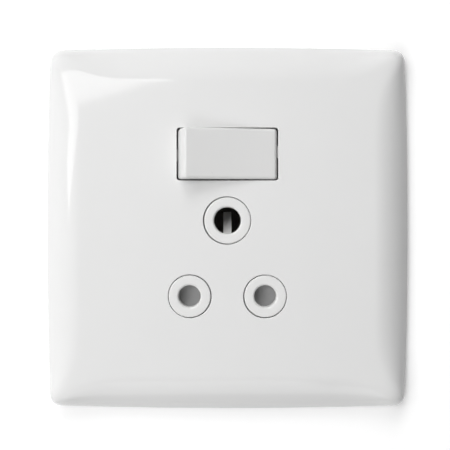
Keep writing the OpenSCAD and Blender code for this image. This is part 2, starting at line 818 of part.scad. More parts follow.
module plunger_spring() {
    wire = 0.15;
    color("silver") upright() at_rocker() translate([0, 0, -plunger_tail + 0.05])
        coil(plunger_r - wire - 0.1, wire, bore_top + plunger_tail - 0.1, 7);
}

// Places a piece at the lever's knuckle, leaning as it rests
module at_lever() {
    translate([0, rocker_y, knuckle_v]) rotate([0, -lever_tilt, 0]) children();
}

module contact_lever() {
    color("goldenrod") upright() at_lever() {
        rise = lever_v - knuckle_v;
        between([-lever_arm, -lever_w / 2, rise - lever_t], [lever_arm, lever_w / 2, rise]);
        rotate([90, 0, 0]) cylinder(h = knuckle_l, r = knuckle_r, center = true, $fn = facets);
        between([-knuckle_r, -lever_w / 2, 0], [knuckle_r, lever_w / 2, rise - lever_t / 2]);
    }
}

module moving_contact_tip() {
    color("lightgray") upright() at_lever() translate([tip_x / cos(lever_tilt), 0, 0])
        bar(tip_r, -moving_face, -moving_face + tip_t);
}

module fixed_contact_tip() {
    color("lightgray") upright() translate([tip_x, rocker_y, 0]) intersection() {
        bar(tip_r, strip_v, fixed_dome_v + tip_dome + cut);
        translate([0, 0, fixed_dome_v]) sphere(tip_dome, $fn = 2 * facets);
    }
}

// Strip of one thickness that follows a path of square turns
module flat_path(path, w, low, high) {
    for (i = [0:len(path) - 2]) {
        a = path[i];
        b = path[i + 1];
        between([min(a[0], b[0]) - w / 2, min(a[1], b[1]) - w / 2, low],
            [max(a[0], b[0]) + w / 2, max(a[1], b[1]) + w / 2, high]);
    }
}

// Routes of the strips on the body's floor plan
function line_path() = [[line_x, line_y - 2], [line_x, rocker_y]];
function live_path() = [[bus_x, block_y - 1.5], [bus_x, bus_high_y], [0, bus_high_y],
    [0, ear_low_y]];
function neutral_path() = [[-line_x, line_y], [-terminal_x, line_y], [-terminal_x, block_y - 1]];
function earth_path() = [[0, earth_y], [0, block_y], [strap_x, block_y], [strap_x, body_low]];

module line_strip() {
    color("goldenrod") upright() flat_path(line_path(), strip_w, strip_back, strip_v);
}

module live_strip() {
    ear_top = knuckle_v;
    color("goldenrod") upright() difference() {
        union() {
            flat_path(live_path(), bus_w, strip_back, strip_v);
            for (s = [-1, 1]) {
                translate([0, rocker_y + s * ear_y, 0]) between([-bus_w / 2, -ear_t / 2,
                    strip_back], [bus_w / 2, ear_t / 2, ear_top]);
            }
        }
        translate([0, rocker_y, knuckle_v]) rotate([90, 0, 0]) cylinder(h = 4 * lever_w,
            r = knuckle_r + running, center = true, $fn = facets);
    }
}

module neutral_strip() {
    color("goldenrod") upright() flat_path(neutral_path(), strip_w, strip_back, strip_v);
}

// One folded strip: along the floor, out of the body, forward, and down behind the frame
module earth_strap() {
    left = strap_x - strip_w / 2;
    right = strap_x + strip_w / 2;
    color("goldenrod") upright() difference() {
        union() {
            flat_path(earth_path(), strip_w, floor_v, floor_v + strip_t);
            between([left, strap_y, floor_v], [right, strap_y + strip_t, 0]);
            between([left, strap_y, floor_v], [right, body_low, floor_v + strip_t]);
            between([left, strap_rivet_y - 3, -strip_t], [right, strap_y + strip_t, 0]);
        }
        translate([strap_x, strap_rivet_y, 0]) bar(rivet_r + snug, -strip_t - cut, cut);
        translate([0, block_y, 0]) bar(clamp_r + snug, back_v, floor_v + strip_t + cut);
    }
}

module strap_rivet() {
    color("silver") upright() translate([strap_x, strap_rivet_y, 0]) rivet(-strip_t, frame_t);
}

// Split tube that grips a pin: flared mouth at the front, closed where the pin ends
module sleeve(inner, outer, front, end, back) {
    difference() {
        rotate_extrude($fn = facets) polygon([[0, back], [outer, back], [outer, front],
            [inner + flare, front], [inner, front - flare], [inner, end], [0, end]]);
        for (a = [45, 135]) {
            rotate([0, 0, a]) between([-2 * outer, -slit_w / 2, end + slit_foot],
                [2 * outer, slit_w / 2, front + cut]);
        }
    }
}

module line_sleeve() {
    color("goldenrod") upright() translate([line_x, line_y, 0])
        sleeve(sleeve_in, sleeve_out, sleeve_front, line_end, strip_v);
}

module neutral_sleeve() {
    color("goldenrod") upright() translate([-line_x, line_y, 0])
        sleeve(sleeve_in, sleeve_out, sleeve_front, line_end, strip_v);
}

module earth_sleeve() {
    color("goldenrod") upright() translate([0, earth_y, 0])
        sleeve(earth_in, earth_out, earth_front, earth_end, floor_v + strip_t);
}

// Open steel ring that presses a sleeve closed
module grip_ring(r, front) {
    difference() {
        bar(r + snug + ring_t, front - 1.5 - ring_h, front - 1.5);
        bar(r + snug, front - 1.5 - ring_h - cut, front - 1.5 + cut);
        between([0, -1.5, front - 1.5 - ring_h - cut], [2 * r, 1.5, front - 1.5 + cut]);
    }
}

module line_grip_ring() {
    color("gray") upright() translate([line_x, line_y, 0]) grip_ring(sleeve_out, sleeve_front);
}

module neutral_grip_ring() {
    color("gray") upright() translate([-line_x, line_y, 0]) rotate([0, 0, 180])
        grip_ring(sleeve_out, sleeve_front);
}

module earth_grip_ring() {
    color("gray") upright() translate([0, earth_y, 0]) grip_ring(earth_out, earth_front);
}

// Brass block with a wire hole from below and a clamping screw's hole from behind
module terminal(top, wire) {
    translate([0, block_y, 0]) difference() {
        slab(block_w, block_l, 0.8, top - block_d, top);
        translate([0, 0, wire]) rotate([90, 0, 0]) cylinder(h = 2 * block_l, r = wire_r,
            center = true, $fn = facets);
        bar(clamp_r + snug, top - block_d - cut, wire);
    }
}

module live_terminal() {
    color("goldenrod") upright() translate([terminal_x, 0, 0]) terminal(block_v, wire_v);
}

module neutral_terminal() {
    color("goldenrod") upright() translate([-terminal_x, 0, 0]) terminal(block_v, wire_v);
}

module earth_terminal() {
    color("goldenrod") upright() terminal(earth_block_v, earth_wire_v);
}

// Slotted clamping screw, backed off to let a wire in
module clamp_screw(tip, head) {
    bar(clamp_r, head - 0.5, tip);
    difference() {
        bar(clamp_head_r, head - clamp_head_t, head);
        between([-4, -0.4, head - clamp_head_t - cut], [4, 0.4, head - clamp_head_t + 1]);
    }
}

module terminal_screws() {
    color("silver") upright() {
        for (s = [-1, 1]) {
            translate([s * terminal_x, block_y, 0]) clamp_screw(clamp_tip_v, clamp_head_v);
        }
        translate([0, block_y, 0]) clamp_screw(earth_wire_v - wire_r - 0.2, floor_v - snug);
    }
}

module shutter() {
    arm = arm_w / 2;
    color("dimgray") upright() {
        between([-shutter_w / 2, shutter_low, shutter_back], [shutter_w / 2, shutter_top,
            shutter_front]);
        translate([-arm, 0, 0]) rotate([90, 0, 90]) linear_extrude(arm_w)
            polygon([[shutter_top - 0.5, shutter_back], [shutter_top - 0.5, shutter_front],
                [ramp_low, shutter_front], [ramp_top, ramp_back], [ramp_top, ramp_back - 1.2],
                [ramp_low + 2, ramp_back - 1.2], [ramp_low - 2, shutter_back]]);
        between([-arm, tab_y - tab_t, spring_v - spring_r - wire_spring_r],
            [arm, tab_y, shutter_back + 0.1]);
    }
}

module shutter_spring() {
    color("silver") upright() translate([0, spring_low, spring_v]) rotate([-90, 0, 0])
        coil(spring_r, wire_spring_r, spring_high - spring_low, 7);
}

cover_plate();
mounting_frame();
front_housing();
rear_housing();
housing_screws();
frame_rivets();
rocker();
rocker_plunger();
plunger_spring();
contact_lever();
moving_contact_tip();
fixed_contact_tip();
line_strip();
live_strip();
neutral_strip();
earth_strap();
strap_rivet();
line_sleeve();
neutral_sleeve();
earth_sleeve();
line_grip_ring();
neutral_grip_ring();
earth_grip_ring();
live_terminal();
neutral_terminal();
earth_terminal();
terminal_screws();
shutter();
shutter_spring();
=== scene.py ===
"""Switched wall socket: smooth visible pieces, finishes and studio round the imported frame.

The frame holds every piece at its true size. This file gives the cover, the collars, the rocker and
the two springs their smooth surfaces, gives each other piece its finish, and sets the camera, the
wall and the lamps. All sizes are in metres: X to the right, Z up, and the front faces -Y.
"""

import math

import bmesh
import bpy
import numpy as np
from bpy.props import FloatProperty, FloatVectorProperty, IntProperty, PointerProperty
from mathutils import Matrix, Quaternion, Vector


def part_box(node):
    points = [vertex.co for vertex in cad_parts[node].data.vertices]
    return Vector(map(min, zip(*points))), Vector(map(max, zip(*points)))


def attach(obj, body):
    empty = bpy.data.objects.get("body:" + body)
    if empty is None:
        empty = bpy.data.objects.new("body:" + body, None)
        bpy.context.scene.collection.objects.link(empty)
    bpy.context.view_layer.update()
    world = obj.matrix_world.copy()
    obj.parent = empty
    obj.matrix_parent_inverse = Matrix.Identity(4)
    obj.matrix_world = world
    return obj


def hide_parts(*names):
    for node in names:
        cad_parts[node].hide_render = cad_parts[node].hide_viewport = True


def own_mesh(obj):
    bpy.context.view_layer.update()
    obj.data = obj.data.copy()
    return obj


bl_info = {
    "name": "Switched Wall Socket",
    "version": (1, 0, 0),
    "blender": (4, 5, 0),
    "location": "View3D > Sidebar > Wall Socket",
    "description": "Builds the visible surfaces and finishes of a switched wall socket",
    "category": "Object",
}

MM = 0.001
WELD = 2e-6  # points closer than this become one
FIELD_HALF = 44 * MM  # half width of the square grid on the field
BORDER_REACH = 14.5 * MM  # how far in from a side the border's own rows go
LUG_X, LUG_UP = 45.5 * MM, 28 * MM  # places of the clip lugs, from the middle

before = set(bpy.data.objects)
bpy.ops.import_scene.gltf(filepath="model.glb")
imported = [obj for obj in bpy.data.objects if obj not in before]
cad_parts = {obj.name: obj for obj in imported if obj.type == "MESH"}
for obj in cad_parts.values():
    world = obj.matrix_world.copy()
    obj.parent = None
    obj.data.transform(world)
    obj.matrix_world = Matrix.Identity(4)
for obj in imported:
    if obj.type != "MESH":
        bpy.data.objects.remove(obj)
COVER_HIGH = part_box("cover_plate")[1]


def length(name, description, default, **more):
    """Float property in metres, given in millimetres."""
    return FloatProperty(name=name, description=description, default=default * MM,
                         unit="LENGTH", precision=5, **more)


def colour(name, description, default):
    """Colour property."""
    return FloatVectorProperty(name=name, description=description, default=default, size=3,
                               subtype="COLOR", min=0, max=1)


class CoverSizes(bpy.types.PropertyGroup):
    """Sizes of the moulded cover"""

    half: length("Half width", "From the centre to the middle of a side",
                 COVER_HIGH.x / MM)
    bow: length("Bow", "How far a side draws in between its middle and its corners", 1.1)
    depth: length("Depth", "Height of the face above the wall", 10.5)
    wall: length("Wall", "Thickness of the moulded wall", 2)
    dome: length("Dome radius", "Radius of the gently domed field", 1500)
    border: length("Border radius", "Radius of the rounded border", 16)
    border_width: length("Border width", "Width of the border in the middle of a side", 13.2)
    edge: length("Edge radius", "Radius of the outer edge", 2)
    corner_width: length("Corner width", "Width that the border would have at the very corner", 4)
    narrowing: FloatProperty(name="Narrowing", default=0.5,
                             description="Growth of the border's width along a side from a corner")
    corner: length("Corner blend", "Reach of the blend between two sides at a corner", 4.7)
    lip: length("Hole lip", "Radius of the softened edge of each hole", 0.16)
    cells: IntProperty(name="Cells", description="Cells along one side of the field", default=100)


class FaceSizes(bpy.types.PropertyGroup):
    """Places and sizes of the window, the collars and the pin entries"""

    pin_x: length("Pin offset", "Distance of the line and neutral pins from the middle", 12.7)
    pin_z: length("Pin height", "Height of the line and neutral pins", -22.9)
    earth_z: length("Earth height", "Height of the earth pin", 2.5)
    collar: length("Collar radius", "Radius of a line or neutral collar", 7.03)
    earth_collar: length("Earth collar radius", "Radius of the earth collar", 7.77)
    gap: length("Collar gap", "Gap between a collar and the cover", 0.29)
    play: length("Play", "How far the cover's holes sit off the collars' centres", 0.11)
    entry: length("Entry radius", "Radius of a line or neutral entry", 3.7)
    earth_entry: length("Earth entry radius", "Radius of the earth entry", 4.5)
    entry_lip: length("Entry lip", "Radius of the rounded lip of an entry", 0.75)
    collar_rim: length("Collar rim", "Radius of a collar's rounded rim", 0.4)
    sunk: length("Collar step", "How far a collar's face lies below the cover's", 0.05)
    ceiling: length("Collar foot", "Height of the front wall that carries the collars", 6.13)
    window: length("Window half width", "Half width of the rocker's window", 17.05)
    window_rise: length("Window half height", "Half height of the rocker's window", 8.88)
    window_z: length("Window height", "Height of the window's centre", 24.8)
    window_corner: length("Window corner", "Corner radius of the window", 1)


class RockerSizes(bpy.types.PropertyGroup):
    """Sizes of the rocker about its pivot"""

    pivot_out: length("Pivot height", "Height of the pivot above the wall", 5.495)
    radius: length("End radius", "Radius of the round ends about the pivot", 16.95)
    rise: length("Height", "Height of the rocker along its pivot", 16.9)
    tilt: FloatProperty(name="Tilt", description="Lean of the rocker at rest",
                        default=math.radians(9), subtype="ANGLE")
    wing: length("Wing height", "Height of a wing's tip above the pivot", 7.42)
    dish: length("Dish", "Hollow of the finger face", 0.3)
    edge: length("Edge", "Radius of the rounded edges", 0.9)
    wall: length("Wall", "Thickness of the rocker's wall", 1.6)
    skirt: length("Skirt", "Depth of the rocker's sides below the pivot", 3.5)
    trunnion: length("Trunnion radius", "Radius of the trunnions", 1.5)
    trunnion_reach: length("Trunnion length", "How far a trunnion stands out", 2)
    stem: length("Stem half width", "Half width of the square stem", 3.2)
    stem_reach: length("Stem reach", "Reach of the stem below the pivot", 8.8)
    bore: length("Bore radius", "Radius of the plunger's bore in the stem", 1.68)


class SpringSizes(bpy.types.PropertyGroup):
    """Sizes of the two coil springs"""

    shutter_r: length("Shutter coil radius", "Mean radius of the shutter's spring", 1.6)
    shutter_wire: length("Shutter wire", "Radius of its wire", 0.2)
    shutter_travel: length("Shutter travel", "How far the shutter slides down", 7.5)
    plunger_r: length("Plunger coil radius", "Mean radius of the plunger's spring", 1.35)
    plunger_wire: length("Plunger wire", "Radius of its wire", 0.15)
    plunger_foot: length("Plunger spring's foot", "Its low end, from the pivot", -4.15)
    plunger_head: length("Plunger spring's head", "Its fixed end, from the pivot", 2.95)
    plunger_travel: length("Plunger travel", "How far the plunger is pushed in", 0.8)
    coils: IntProperty(name="Turns", description="Turns of each spring", default=7)


class Finishes(bpy.types.PropertyGroup):
    """Colours of the pieces"""

    cover: colour("Cover", "Glossy white of the cover", (0.80, 0.80, 0.797))
    collar: colour("Collars", "White of the front housing", (0.79, 0.79, 0.783))
    rocker: colour("Rocker", "Satin white of the rocker", (0.77, 0.77, 0.765))
    shutter: colour("Shutter", "Grey of the shutter", (0.26, 0.26, 0.26))
    # Painted light, not wear: the paler ramp grey lifts the shade on the shutter's ramp deep in the
    # earth entry
    ramp: colour("Ramp", "Paler grey where the earth pin rubs the shutter's ramp",
                 (0.72, 0.72, 0.71))
    rear: colour("Rear housing", "Dark moulding of the rear housing", (0.035, 0.035, 0.037))


class StageSizes(bpy.types.PropertyGroup):
    """Camera, wall and lamps"""

    eye: length("Eye distance", "Distance of the camera from the face", 230)
    eye_x: length("Eye offset", "Sideways place of the camera", -0.82)
    eye_z: length("Eye height", "Height of the camera", 1.0)
    view: length("View width", "Width that the photograph takes in at the face", 150.5)
    wall: length("Wall size", "Size of the wall piece behind the socket", 900)
    tuck: length("Tuck", "How far the wall reaches in under the cover's edge", 0.05)


class SocketSettings(bpy.types.PropertyGroup):
    """Everything that a user may change"""

    cover: PointerProperty(type=CoverSizes)
    face: PointerProperty(type=FaceSizes)
    rocker: PointerProperty(type=RockerSizes)
    spring: PointerProperty(type=SpringSizes)
    finish: PointerProperty(type=Finishes)
    stage: PointerProperty(type=StageSizes)


def settings():
    """The scene's settings."""
    return bpy.context.scene.wall_socket


# Mesh helpers

def strip_quads(rows, columns, closed):
    """Quads between neighbouring rows of a grid, and across its last column if it is closed."""
    r = np.arange(rows - 1)[:, None]
    c = np.arange(columns if closed else columns - 1)[None, :]
    after = (c + 1) % columns
    here, above = r * columns, (r + 1) * columns
    quads = np.stack(np.broadcast_arrays(here + c, here + after, above + after, above + c), -1)
    return quads.reshape(-1, 4)


class Patchwork:
    """Collects patches of vertices and faces, and welds them into one mesh."""

    def __init__(self):
        self.points = []
        self.faces = []
        self.count = 0

    def add(self, points, quads, flip=False):
        """Adds one patch: an array of points and of the quads between them."""
        points = np.asarray(points, float).reshape(-1, 3)
        quads = np.asarray(quads)
        turned = quads[:, ::-1] if flip else quads
        self.faces += (turned + self.count).tolist()
        self.points.append(points)
        self.count += len(points)

    def sheet(self, rows, closed=False, flip=False):
        """Adds a grid of points, row by row."""
        rows = np.asarray(rows, float)
        self.add(rows, strip_quads(rows.shape[0], rows.shape[1], closed), flip)

    def cap(self, loop, flip=False):
        """Closes a flat loop with one face."""
        self.add(loop, np.arange(len(loop))[None, :], flip)

    def build(self, name, body, material, sharp=math.radians(40)):
        """Makes the object, welds its seams, turns its faces outwards and lets it ride."""
        mesh = bpy.data.meshes.new(name)
        mesh.from_pydata(np.concatenate(self.points), [], self.faces)
        work = bmesh.new()
        work.from_mesh(mesh)
        bmesh.ops.remove_doubles(work, verts=work.verts, dist=WELD)
        bmesh.ops.recalc_face_normals(work, faces=work.faces)
        for edge in work.edges:
            edge.smooth = len(edge.link_faces) == 2 and edge.calc_face_angle() < sharp
        for face in work.faces:
            face.smooth = True
        work.to_mesh(mesh)
        work.free()
        piece = bpy.data.objects.new(name, mesh)
        bpy.context.scene.collection.objects.link(piece)
        piece.data.materials.append(material)
        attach(piece, body)
        return piece


def stand_up(x, up, out):
    """Bench place (right, up, out of the wall) as a world place."""
    x, up, out = np.broadcast_arrays(x, up, out)
    return np.stack([x, -out, up], -1)


def soft_least(a, b, reach):
    """Smaller of two values, rounded off where they differ by less than reach.

    With n the share of reach that their difference leaves, it is the smaller value less
    n n reach / 4.
    """
    near = np.clip(reach - np.abs(a - b), 0, None) / reach
    return np.minimum(a, b) - near * near * reach / 4


def revolve(profile, x, up, turns=96):
    """Profile points (radius, out) turned about an axis out of the wall at (x, up).

    Each turn by an angle puts a point at x + radius cos(angle), up + radius sin(angle).
    """
    angle = np.linspace(0, 2 * math.pi, turns, endpoint=False)
    radius = profile[:, :1]
    return stand_up(x + radius * np.cos(angle), up + radius * np.sin(angle), profile[:, 1:])


def arc(cx, cy, radius, start, end, steps):
    """Points of an arc, with angles in degrees."""
    a = np.radians(np.linspace(start, end, steps + 1))
    return np.stack([cx + radius * np.cos(a), cy + radius * np.sin(a)], -1)


# The cover's surface

class Pillow:
    """Pillow form of the cover, drawn in by t.

    A large dome carries a border that leaves it without a step in slope. With n the distance in
    from a bowed side, w the border's width, v its width here, less towards the corners, and g how
    far the side is drawn in here, the distance d = w (1 - n / (v - g)) runs from 0 at the crease
    to w at the edge. The border drops by one large arc over d and then by the small edge arc. The
    distances to neighbouring sides are blended, which rounds the corners.
    """

    def __init__(self, t):
        c = settings().cover
        self.c = c
        self.t = t
        self.bow_r = (c.half ** 2 + c.bow ** 2) / (2 * c.bow)
        self.width = c.border_width - t
        self.big = c.border - t
        self.small = max(c.edge - t, 0.3 * MM)
        self.edge_d = self.width - self.small
        self.meet_d = self.edge_d * self.big / (self.big - self.small)
        self.edge_drop = self.big - math.sqrt((self.big - self.small) ** 2 - self.edge_d ** 2)
        self.rim = float(self.field(c.half - t, 0.0))
        self.edge_v = self.rim - self.edge_drop

    def from_sides(self, x, up):
        """Distances in from the nearest bowed side across and along.

        Each is the radius of the bow less the distance from the bow's centre.
        """
        offset = self.bow_r - self.c.half
        return (self.bow_r - np.hypot(np.abs(x) + offset, up),
                self.bow_r - np.hypot(np.abs(up) + offset, x))

    def inward(self, x, up):
        """Distance in from the bowed sides, blended at the corners."""
        return soft_least(*self.from_sides(x, up), self.c.corner)

    def beyond(self, x, up):
        """Distance d beyond the crease: 0 on the field and the border's width at the edge.

        The border's width here is the smaller, blended, of its full width and of a width that
        grows along the side from the corner.
        """
        across, along = self.from_sides(x, up)
        inward = soft_least(across, along, self.c.corner)
        straight = soft_least(self.c.half - np.abs(x), self.c.half - np.abs(up), self.c.corner)
        far = -soft_least(-across, -along, self.c.corner)
        width = soft_least(self.c.border_width, self.c.corner_width + self.c.narrowing * far,
                           self.c.corner)
        share = (inward - self.t) / (width - self.t - (straight - inward))
        return self.width * np.clip(1 - share, 0, 1)

    def drop(self, beyond):
        """How far the border has dropped below its base at a distance beyond the crease.

        The large arc drops by R - root(R R - d d). Where it meets the edge arc of radius r, the
        drop becomes the edge's drop less root(r r - e e), with e counted from that arc's centre.
        """
        large = self.big - np.sqrt(np.clip(self.big ** 2 - beyond ** 2, 0, None))
        small = self.edge_drop - np.sqrt(
            np.clip(self.small ** 2 - (beyond - self.edge_d) ** 2, 0, None))
        return np.where(beyond > self.meet_d, small, large)

    def field(self, x, up):
        """Height of the dome: its centre's height plus root(R R - x x - up up)."""
        radius = self.c.dome - self.t
        return self.c.depth - self.c.dome + np.sqrt(radius ** 2 - x * x - up * up)

    def height(self, x, up):
        """Height of the surface: the dome, eased to a level rim, less the border's drop.

        With s the share of the border's width, the ease is s s (3 - 2 s).
        """
        beyond = self.beyond(x, up)
        share = beyond / self.width
        eased = share * share * (3 - 2 * share)
        return self.field(x, up) * (1 - eased) + self.rim * eased - self.drop(beyond)

    def level(self, start, inward):
        """Places on rays from the centre through start that lie a given distance in.

        The stretch of each ray is found by halving the range from 1 to 2 forty times.
        """
        low = np.ones(len(start))
        high = np.full(len(start), 2.0)
        for _ in range(40):
            middle = (low + high) / 2
            inside = self.inward(*(start * middle[:, None]).T) > inward
            low = np.where(inside, middle, low)
            high = np.where(inside, high, middle)
        return start * low[:, None]


def field_lines(half, cells):
    """Grid lines across the field, closer together towards its corners.

    With u even from -1 to 1, a line lies at half (0.6 u + 0.4 sin(u pi / 2)).
    """
    u = np.linspace(-1, 1, cells + 1)
    return half * (0.6 * u + 0.4 * np.sin(u * math.pi / 2))


def loop_of(lines_x, lines_up):
    """Places of a grid's outer loop, anticlockwise from its lower left corner."""
    bottom = np.stack([lines_x[:-1], np.full(len(lines_x) - 1, lines_up[0])], -1)
    right = np.stack([np.full(len(lines_up) - 1, lines_x[-1]), lines_up[:-1]], -1)
    top = np.stack([lines_x[:0:-1], np.full(len(lines_x) - 1, lines_up[-1])], -1)
    left = np.stack([np.full(len(lines_up) - 1, lines_x[0]), lines_up[:0:-1]], -1)
    return np.concatenate([bottom, right, top, left])


def round_hole(centre, radius, outer):
    """Circle points and outward normals, in the directions of an outer loop's points."""
    away = outer - centre
    away /= np.linalg.norm(away, axis=1)[:, None]
    return centre + away * radius, away


def square_hole(centre, half, rise, corner, counts, arc_steps=5):
    """Points and outward normals of a rounded rectangle.

    Each side runs from the middle of one corner's arc to the middle of the next, with a fixed
    number of points on its two half arcs, so that corners stay smooth and match the outer loop's.
    """
    points, normals = [], []
    ends = [(-1, -1, -90), (1, -1, 0), (1, 1, 90), (-1, 1, 180)]
    for (sx, sy, turn), (nx, ny, _), count in zip(ends, ends[1:] + ends[:1], counts):
        a = np.radians(turn - 45 + 45 * np.arange(arc_steps) / arc_steps)
        b = np.radians(turn + 45 * np.arange(1, arc_steps) / arc_steps)
        first = np.stack([np.cos(a), np.sin(a)], -1)
        last = np.stack([np.cos(b), np.sin(b)], -1)
        core = np.array([half - corner, rise - corner])
        from_core = centre + core * (sx, sy)
        to_core = centre + core * (nx, ny)
        straight = np.array([math.cos(math.radians(turn)), math.sin(math.radians(turn))])
        share = np.linspace(0, 1, count - len(first) - len(last))[:, None]
        line = (from_core + (to_core - from_core) * share) + straight * corner
        points += [from_core + first * corner, line, to_core + last * corner]
        normals += [first, np.repeat(straight[None], len(line), 0), last]
    return np.concatenate(points), np.concatenate(normals)


def hole_outlines(lines):
    """The cover's four holes: the grid cells that each takes, and its outline and normals."""
    f = settings().face
    margin = 1.6 * MM
    play = f.play
    plans = [(0, f.window_z, f.window, f.window_rise, f.window_corner),
             (-play, f.earth_z, f.earth_collar + f.gap, None, None),
             (-f.pin_x + 0.8 * play, f.pin_z, f.collar + f.gap, None, None),
             (f.pin_x - 0.8 * play, f.pin_z - 0.6 * play, f.collar + f.gap, None, None)]
    holes = []
    for x, up, half, rise, corner in plans:
        tall = rise or half
        left = np.searchsorted(lines, x - half - margin) - 1
        right = np.searchsorted(lines, x + half + margin)
        low = np.searchsorted(lines, up - tall - margin) - 1
        high = np.searchsorted(lines, up + tall + margin)
        outer = loop_of(lines[left:right + 1], lines[low:high + 1])
        centre = np.array([x, up])
        if rise:
            counts = [right - left, high - low, right - left, high - low]
            inner, away = square_hole(centre, half, rise, corner, counts)
        else:
            inner, away = round_hole(centre, half, outer)
        holes.append(((left, right, low, high), outer, inner, away))
    return holes


def skin(work, pillow, levels, lip, flip):
    """One skin of the cover: its side, border rows, field and the rims of its holes.

    Rows of points run round the side and the border, and four more ease into the square grid of
    the field. A hole takes some of the grid's cells, and its rings ease from them to its lip.
    """
    c = pillow.c
    lines = field_lines(FIELD_HALF, c.cells)
    start = loop_of(lines, lines)
    rows = []
    foot = pillow.level(start, pillow.t + 1e-9)
    for out in np.linspace(0, pillow.edge_v, 4)[:-1]:
        rows.append(stand_up(foot[:, 0], foot[:, 1], out))
    for inward in levels:
        place = pillow.level(start, pillow.t + inward)
        rows.append(stand_up(place[:, 0], place[:, 1], pillow.height(*place.T)))
    for share in (0.25, 0.5, 0.75, 1):
        blend = place * (1 - share) + start * share
        rows.append(stand_up(blend[:, 0], blend[:, 1], pillow.height(*blend.T)))
    work.sheet(rows, closed=True, flip=flip)
    x, up = np.meshgrid(lines, lines)
    kept = np.ones((c.cells, c.cells), bool)
    hole_rims = []
    for (left, right, low, high), outer, inner, away in hole_outlines(lines):
        kept[low:high, left:right] = False
        ring = []
        for share in (0, 0.3, 0.55, 0.75, 0.9):
            place = outer * (1 - share) + (inner + away * lip) * share
            ring.append(stand_up(place[:, 0], place[:, 1], pillow.height(*place.T)))
        turns = np.radians([0, 22.5, 45, 67.5, 90]) if lip else [math.pi / 2]
        for turn in turns:
            place = inner + away * lip * (1 - math.sin(turn))
            out = pillow.height(*place.T) - lip * (1 - math.cos(turn))
            ring.append(stand_up(place[:, 0], place[:, 1], out))
        work.sheet(ring, closed=True, flip=flip)
        hole_rims.append(ring[-1])
    quads = strip_quads(c.cells + 1, c.cells + 1, False)[kept.ravel()]
    work.add(stand_up(x, up, pillow.height(x, up)), quads, flip)
    return rows[0], hole_rims


def edge_levels(pillow, rows):
    """Distances in from the side: even turns round the edge arc, then even steps."""
    turn = math.acos((pillow.meet_d - pillow.edge_d) / pillow.small)
    curve = pillow.small * (1 - np.cos(np.linspace(0, turn, 9)))
    return np.concatenate([curve, np.linspace(curve[-1], BORDER_REACH, rows)[1:]])


def prism(work, outline, low, high):
    """Outline of (right, out) points carried up the wall from low to high, closed at both ends."""
    ends = [stand_up(outline[:, 0], up, outline[:, 1]) for up in (low, high)]
    work.sheet(ends, closed=True)
    work.cap(ends[0])
    work.cap(ends[1], flip=True)


def clip_lug(work, x, up, side):
    """Hooked lug with a rib, both sunk a little into the inside of the cover's face.

    Each is an outline of (right, out) points in millimetres, carried along half of its width
    either way.
    """
    sunk, hook_half, rib_half = 0.2 * MM, 3 * MM, 0.5 * MM
    inside = Pillow(settings().cover.wall)
    top = (float(inside.height(np.array(x), np.array(up))) + sunk) / MM
    hook = np.array([[-0.8, -2.4], [0, -2.4], [0.8, -2.4], [0.8, top], [-0.8, top],
                     [-0.8, -0.2], [-1.7, -0.2]]) * MM
    rib = np.array([[0.7, 3], [2.6, 3], [2.6, top], [0.7, top]]) * MM
    for outline, reach in ((hook, hook_half), (rib, rib_half)):
        prism(work, outline * (side, 1) + (x, 0), up - reach, up + reach)


def window_guide(work, side, up):
    """Low guide pad on a short side of the window, hollowed to the rocker's round end.

    At a height h above the pivot its face lies at root(radius radius - h h) plus the clearance.
    """
    f, r = settings().face, settings().rocker
    clearance, sunk, reach = 0.22 * MM, 0.3 * MM, 2 * MM
    out = np.linspace(7.8, 8.8, 5) * MM
    round_end = np.sqrt(r.radius ** 2 - (out - r.pivot_out) ** 2) + clearance
    outline = np.stack([round_end, out], -1)
    back = np.array([[f.window + sunk, out[-1]], [f.window + sunk, out[0]]])
    prism(work, np.concatenate([outline, back]) * (side, 1), up - reach, up + reach)


# The rocker's surface

def rocker_outline(inset):
    """Outline of the rocker from its left foot over the face to its right foot, drawn in.

    Each half is a round end about the pivot, a tip arc that touches it from inside, and half of
    the shallow circle of the finger face, of radius (tip tip + dish dish) / (2 dish). One row of
    points comes out for each inset.
    """
    r = settings().rocker
    end_steps, tip_steps, face_steps = 16, 11, 21
    least_tip = 0.08 * MM
    inset = np.asarray(inset, float)[:, None]
    tip_up = r.wing - r.edge
    tip_x = math.sqrt((r.radius - r.edge) ** 2 - tip_up ** 2)
    turn = math.atan2(tip_up, tip_x)
    foot = -np.arcsin(r.skirt / (r.radius - inset))
    angle = foot + (turn - foot) * np.linspace(0, 1, end_steps)[None, :-1]
    end = np.stack([(r.radius - inset) * np.cos(angle), (r.radius - inset) * np.sin(angle)], -1)
    angle = np.linspace(turn, math.pi / 2, tip_steps)[None, :-1]
    small = np.maximum(r.edge - inset, least_tip)
    tip = np.stack([tip_x + small * np.cos(angle), tip_up + small * np.sin(angle)], -1)
    bowl = (tip_x ** 2 + r.dish ** 2) / (2 * r.dish)
    x = np.linspace(tip_x, 0, face_steps)[None, :] + 0 * inset
    out = r.wing - r.dish + bowl - np.sqrt((bowl + inset) ** 2 - x * x)
    half = np.concatenate([end, tip, np.stack([x, out], -1)], 1)
    other = half[:, -2::-1] * (-1, 1)
    return np.concatenate([half, other], 1)[:, ::-1]


def leaned(x, up, out):
    """Place in the rocker's own frame as a world place, leaned about the pivot by its tilt t.

    It goes to x cos t + out sin t across and to out cos t - x sin t out of the wall.
    """
    r = settings().rocker
    x, up, out = np.broadcast_arrays(x, up, out)
    c, s = math.cos(r.tilt), math.sin(r.tilt)
    return stand_up(x * c + out * s, up + settings().face.window_z,
                    out * c - x * s + r.pivot_out)


